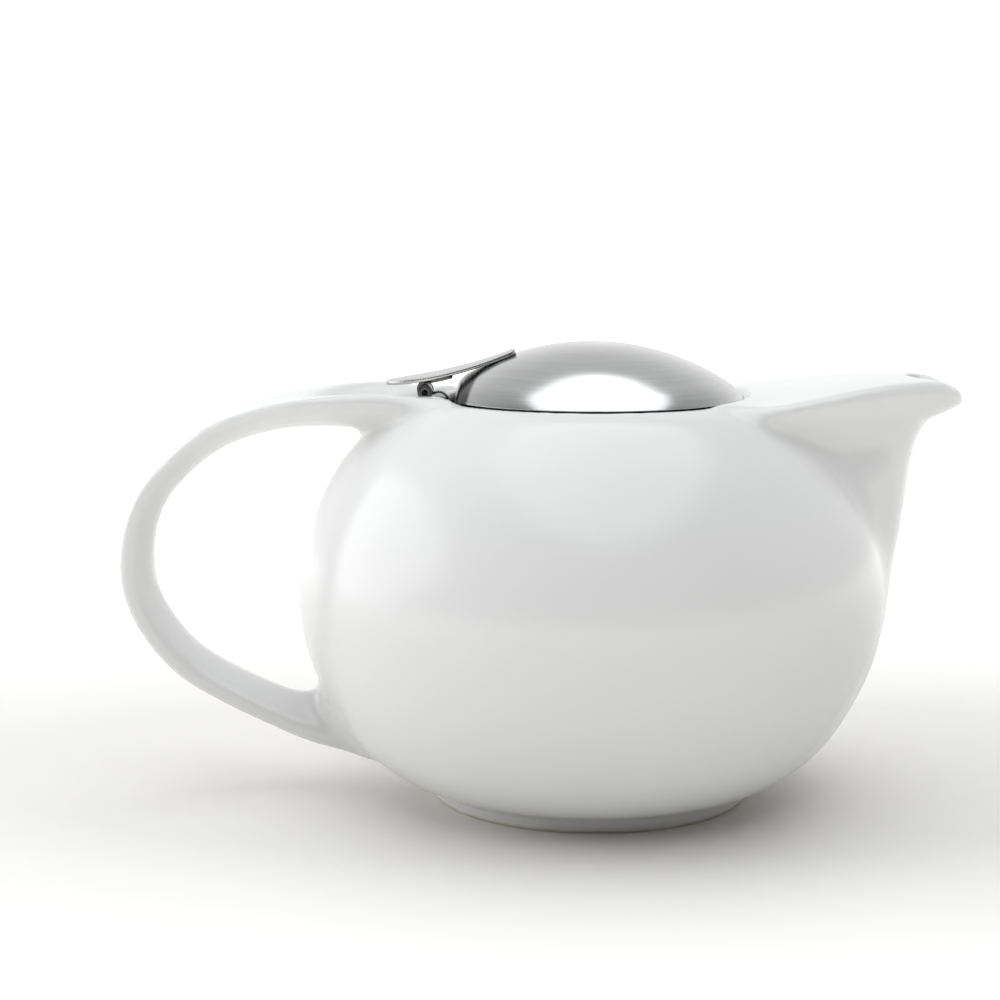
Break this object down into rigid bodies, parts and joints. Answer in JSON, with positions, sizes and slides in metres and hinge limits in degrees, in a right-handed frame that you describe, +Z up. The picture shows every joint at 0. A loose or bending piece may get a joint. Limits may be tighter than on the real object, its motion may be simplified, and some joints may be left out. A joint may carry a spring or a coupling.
{
  "type": "teapot with infuser",
  "caption": "Squat glazed teapot with a wedge spout, a broad ribbon handle, a hinged domed steel lid with a thumb lever, and a lift-out infuser basket.",
  "frame": {"origin": "centre of the foot ring's base plane, on the surface that the pot stands on", "axes": "+Z up, +X to the spout, +Y to the pot's left-hand side seen from the handle"},
  "size_m": [0.2015, 0.14, 0.1092],
  "materials": {
    "porcelain": "gloss white glaze",
    "brushed_lid": "fine circular brushing, satin",
    "hinge_steel": "plain bright sheet",
    "infuser_steel": "satin, finely perforated"
  },
  "bodies": {
    "pot": {"pot_body": "porcelain", "spout": "porcelain", "handle": "porcelain"},
    "lid_mount": {"hinge_bracket": "hinge_steel", "clip_spring": "hinge_steel", "clip_rivets": "hinge_steel", "hinge_pin": "hinge_steel"},
    "lid": {"lid_dome": "brushed_lid", "lid_skirt": "brushed_lid", "thumb_lever": "brushed_lid", "hinge_leaf": "hinge_steel"},
    "infuser": {"infuser_rim": "infuser_steel", "infuser_sleeve": "infuser_steel", "infuser_base": "infuser_steel", "infuser_base_ring": "infuser_steel"}
  },
  "joints": [
    {"name": "lid_lift", "type": "slide", "parent": "pot", "child": "lid_mount", "axis": [0, 0, 1], "range_m": [0, 0.12]},
    {"name": "lid_hinge", "type": "hinge", "parent": "lid_mount", "child": "lid", "pos_m": [-0.0395, 0, 0.0975], "axis": [0, -1, 0], "range_deg": [0, 36]},
    {"name": "infuser_lift", "type": "slide", "parent": "pot", "child": "infuser", "axis": [0, 0, 1], "range_m": [0, 0.072]}
  ],
  "couplings": [
    {"joint": "infuser_lift", "follows": "lid_lift", "ratio": 0.6}
  ]
}
